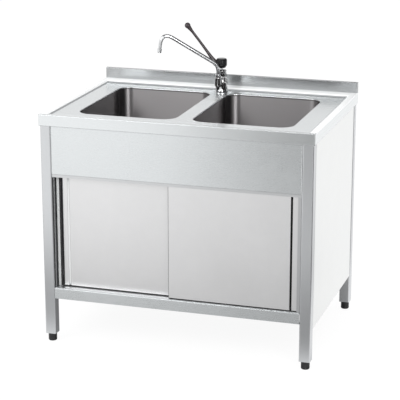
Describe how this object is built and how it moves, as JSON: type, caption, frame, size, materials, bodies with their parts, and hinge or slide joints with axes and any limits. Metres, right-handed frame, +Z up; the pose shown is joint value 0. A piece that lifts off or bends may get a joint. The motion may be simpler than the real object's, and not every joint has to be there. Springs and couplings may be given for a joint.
{
  "type": "kitchen sink unit",
  "caption": "Free-standing stainless sink unit: twin bowls, rear upstand, swivel tap with a long lever, square legs on levelling feet, and a cupboard with sliding doors.",
  "frame": {"origin": "on the floor under the middle of the worktop", "axes": "+X to the right, +Y to the back (the upstand side), +Z up"},
  "size_m": [1, 0.7, 1.1065],
  "materials": {
    "worktop_steel": "satin brushed stainless sheet",
    "bowl_steel": "pressed stainless bowl, satin inside",
    "leg_steel": "brushed stainless square tube",
    "panel_steel": "brushed stainless sheet",
    "door_steel": "finely brushed stainless sheet",
    "track_steel": "folded stainless channel",
    "inner_steel": "dull galvanised sheet",
    "chrome": "polished chrome plate",
    "pipe_plastic": "white moulded pipe",
    "roller_nylon": "off-white nylon",
    "foot_plastic": "black moulded plastic",
    "hub_plastic": "glossy black cap",
    "lever_coating": "dark brown-black coating on the long lever"
  },
  "bodies": {
    "cabinet": {"worktop": "worktop_steel", "bowl_left": "bowl_steel", "bowl_right": "bowl_steel", "waste_flange_left": "chrome", "waste_flange_right": "chrome", "waste_tail_left": "pipe_plastic", "waste_tail_right": "pipe_plastic", "branch_pipe_left": "pipe_plastic", "branch_pipe_right": "pipe_plastic", "drain_tee": "pipe_plastic", "trap_bottle": "pipe_plastic", "outlet_pipe": "pipe_plastic", "leg_front_left": "leg_steel", "leg_front_right": "leg_steel", "leg_rear_left": "leg_steel", "leg_rear_right": "leg_steel", "leg_plug_front_left": "foot_plastic", "leg_plug_front_right": "foot_plastic", "leg_plug_rear_left": "foot_plastic", "leg_plug_rear_right": "foot_plastic", "front_panel": "panel_steel", "front_rail": "panel_steel", "side_panel_left": "panel_steel", "side_panel_right": "panel_steel", "back_panel": "inner_steel", "shelf": "inner_steel", "top_track": "track_steel", "bottom_guide": "track_steel", "jamb_left": "track_steel", "jamb_right": "track_steel", "tap_base": "chrome", "tap_lock_nut": "chrome", "tap_body": "chrome"},
    "left_door": {"left_door_outer": "door_steel", "left_door_inner": "inner_steel", "left_door_hanger_outer": "inner_steel", "left_door_hanger_meeting": "inner_steel"},
    "right_door": {"right_door_outer": "door_steel", "right_door_inner": "inner_steel", "right_door_hanger_outer": "inner_steel", "right_door_hanger_meeting": "inner_steel"},
    "left_outer_roller": {"left_door_roller_outer": "roller_nylon"},
    "left_meeting_roller": {"left_door_roller_meeting": "roller_nylon"},
    "right_outer_roller": {"right_door_roller_outer": "roller_nylon"},
    "right_meeting_roller": {"right_door_roller_meeting": "roller_nylon"},
    "swivel_spout": {"spout": "chrome", "spout_nut": "chrome", "aerator": "chrome"},
    "tap_stem": {"tap_cartridge": "inner_steel"},
    "tap_handle": {"tap_hub": "hub_plastic", "lever": "lever_coating"},
    "left_strainer": {"waste_strainer_left": "chrome"},
    "right_strainer": {"waste_strainer_right": "chrome"},
    "front_left_foot": {"foot_front_left": "foot_plastic"},
    "front_right_foot": {"foot_front_right": "foot_plastic"},
    "rear_left_foot": {"foot_rear_left": "foot_plastic"},
    "rear_right_foot": {"foot_rear_right": "foot_plastic"}
  },
  "joints": [
    {"name": "left_door_slide", "type": "slide", "parent": "cabinet", "child": "left_door", "axis": [1, 0, 0], "range_m": [-0.015, 0.39]},
    {"name": "right_door_slide", "type": "slide", "parent": "cabinet", "child": "right_door", "axis": [-1, 0, 0], "range_m": [0, 0.4]},
    {"name": "left_outer_roller_turn", "type": "hinge", "parent": "left_door", "child": "left_outer_roller", "pos_m": [-0.352, -0.2992, 0.6528], "axis": [0, 1, 0], "range_deg": [-80, 2035]},
    {"name": "left_meeting_roller_turn", "type": "hinge", "parent": "left_door", "child": "left_meeting_roller", "pos_m": [-0.042, -0.2992, 0.6528], "axis": [0, 1, 0], "range_deg": [-80, 2035]},
    {"name": "right_outer_roller_turn", "type": "hinge", "parent": "right_door", "child": "right_outer_roller", "pos_m": [0.367, -0.3227, 0.6528], "axis": [0, 1, 0], "range_deg": [-2085, 0]},
    {"name": "right_meeting_roller_turn", "type": "hinge", "parent": "right_door", "child": "right_meeting_roller", "pos_m": [0.057, -0.3227, 0.6528], "axis": [0, 1, 0], "range_deg": [-2085, 0]},
    {"name": "spout_swivel", "type": "hinge", "parent": "cabinet", "child": "swivel_spout", "pos_m": [-0.00521, 0.20646, 0.9], "axis": [0, 0, 1], "range_deg": [-10, 130]},
    {"name": "lever_swivel", "type": "hinge", "parent": "cabinet", "child": "tap_stem", "pos_m": [0, 0.236, 0.94], "axis": [0, 0, 1], "range_deg": [-60, 10]},
    {"name": "lever_lift", "type": "hinge", "parent": "tap_stem", "child": "tap_handle", "pos_m": [0, 0.236, 0.95], "axis": [-0.2588, 0.9659, 0], "range_deg": [0, 25]},
    {"name": "left_strainer_lift", "type": "slide", "parent": "cabinet", "child": "left_strainer", "axis": [0, 0, 1], "range_m": [0, 0.06]},
    {"name": "right_strainer_lift", "type": "slide", "parent": "cabinet", "child": "right_strainer", "axis": [0, 0, 1], "range_m": [0, 0.06]},
    {"name": "front_left_foot_screw", "type": "slide", "parent": "cabinet", "child": "front_left_foot", "axis": [0, 0, -1], "range_m": [0, 0.025]},
    {"name": "front_right_foot_screw", "type": "slide", "parent": "cabinet", "child": "front_right_foot", "axis": [0, 0, -1], "range_m": [0, 0.025]},
    {"name": "rear_left_foot_screw", "type": "slide", "parent": "cabinet", "child": "rear_left_foot", "axis": [0, 0, -1], "range_m": [0, 0.025]},
    {"name": "rear_right_foot_screw", "type": "slide", "parent": "cabinet", "child": "rear_right_foot", "axis": [0, 0, -1], "range_m": [0, 0.025]}
  ],
  "couplings": [
    {"joint": "left_outer_roller_turn", "follows": "left_door_slide", "rad_per_m": 90.909},
    {"joint": "left_meeting_roller_turn", "follows": "left_door_slide", "rad_per_m": 90.909},
    {"joint": "right_outer_roller_turn", "follows": "right_door_slide", "rad_per_m": -90.909},
    {"joint": "right_meeting_roller_turn", "follows": "right_door_slide", "rad_per_m": -90.909}
  ]
}
